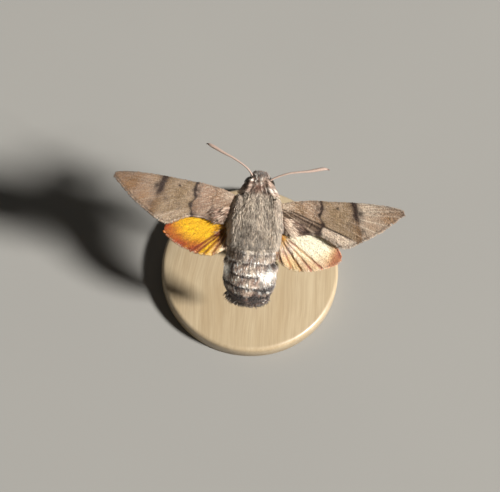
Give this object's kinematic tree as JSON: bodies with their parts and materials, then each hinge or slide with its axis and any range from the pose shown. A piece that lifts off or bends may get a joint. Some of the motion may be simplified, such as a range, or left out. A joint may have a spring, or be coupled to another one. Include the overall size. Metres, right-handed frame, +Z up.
{
  "type": "hawk moth model",
  "caption": "Life-size display model of a hummingbird hawk moth hovering with spread wings and curled abdomen, held by a rod over a round wooden base.",
  "frame": {"origin": "centre of the display base's underside", "axes": "+Z up; the moth's head points towards -Y, pitched 26 degrees up, and its left side is +X"},
  "size_m": [0.046, 0.03, 0.0353],
  "materials": {
    "coat_olive": "deep matt fur-like scales, olive grey-brown",
    "coat_abdomen": "shorter matt scales, grey-brown with dark and pale ring lines",
    "coat_pale": "matt cream-white scales",
    "tail_scales": "long matt black-brown scales",
    "forewing_scales": "fine matt wing scales, grey-brown with dark wavy lines",
    "hindwing_scales": "fine matt wing scales, orange with a rust margin",
    "eye_lens": "glossy dark compound eye",
    "antenna_brown": "satin brown, pale above",
    "tongue_brown": "satin chestnut",
    "leg_scales": "short matt scales, pale grey-brown",
    "base_maple": "satin maple",
    "rod_steel": "brushed stainless steel"
  },
  "bodies": {
    "root": {"head": "coat_olive", "collar": "coat_olive", "thorax": "coat_olive", "tegula_left": "coat_olive", "tegula_right": "coat_olive", "abdomen_1": "coat_abdomen", "abdomen_2": "coat_abdomen", "abdomen_3": "coat_abdomen", "abdomen_4": "coat_abdomen", "abdomen_5": "coat_abdomen", "abdomen_6": "coat_abdomen", "abdomen_7": "coat_abdomen", "tail_fan_left": "tail_scales", "tail_fan_middle": "tail_scales", "tail_fan_right": "tail_scales", "palp_left": "coat_pale", "palp_right": "coat_pale", "forewing_left": "forewing_scales", "forewing_right": "forewing_scales", "hindwing_left": "hindwing_scales", "hindwing_right": "hindwing_scales", "eye_left": "eye_lens", "eye_right": "eye_lens", "antenna_left": "antenna_brown", "antenna_right": "antenna_brown", "proboscis_inner": "tongue_brown", "proboscis_outer": "tongue_brown", "leg_front_left": "leg_scales", "leg_front_right": "leg_scales", "leg_middle_left": "leg_scales", "leg_middle_right": "leg_scales", "leg_hind_left": "leg_scales", "leg_hind_right": "leg_scales", "stand_base": "base_maple", "stand_rod": "rod_steel"}
  },
  "joints": []
}
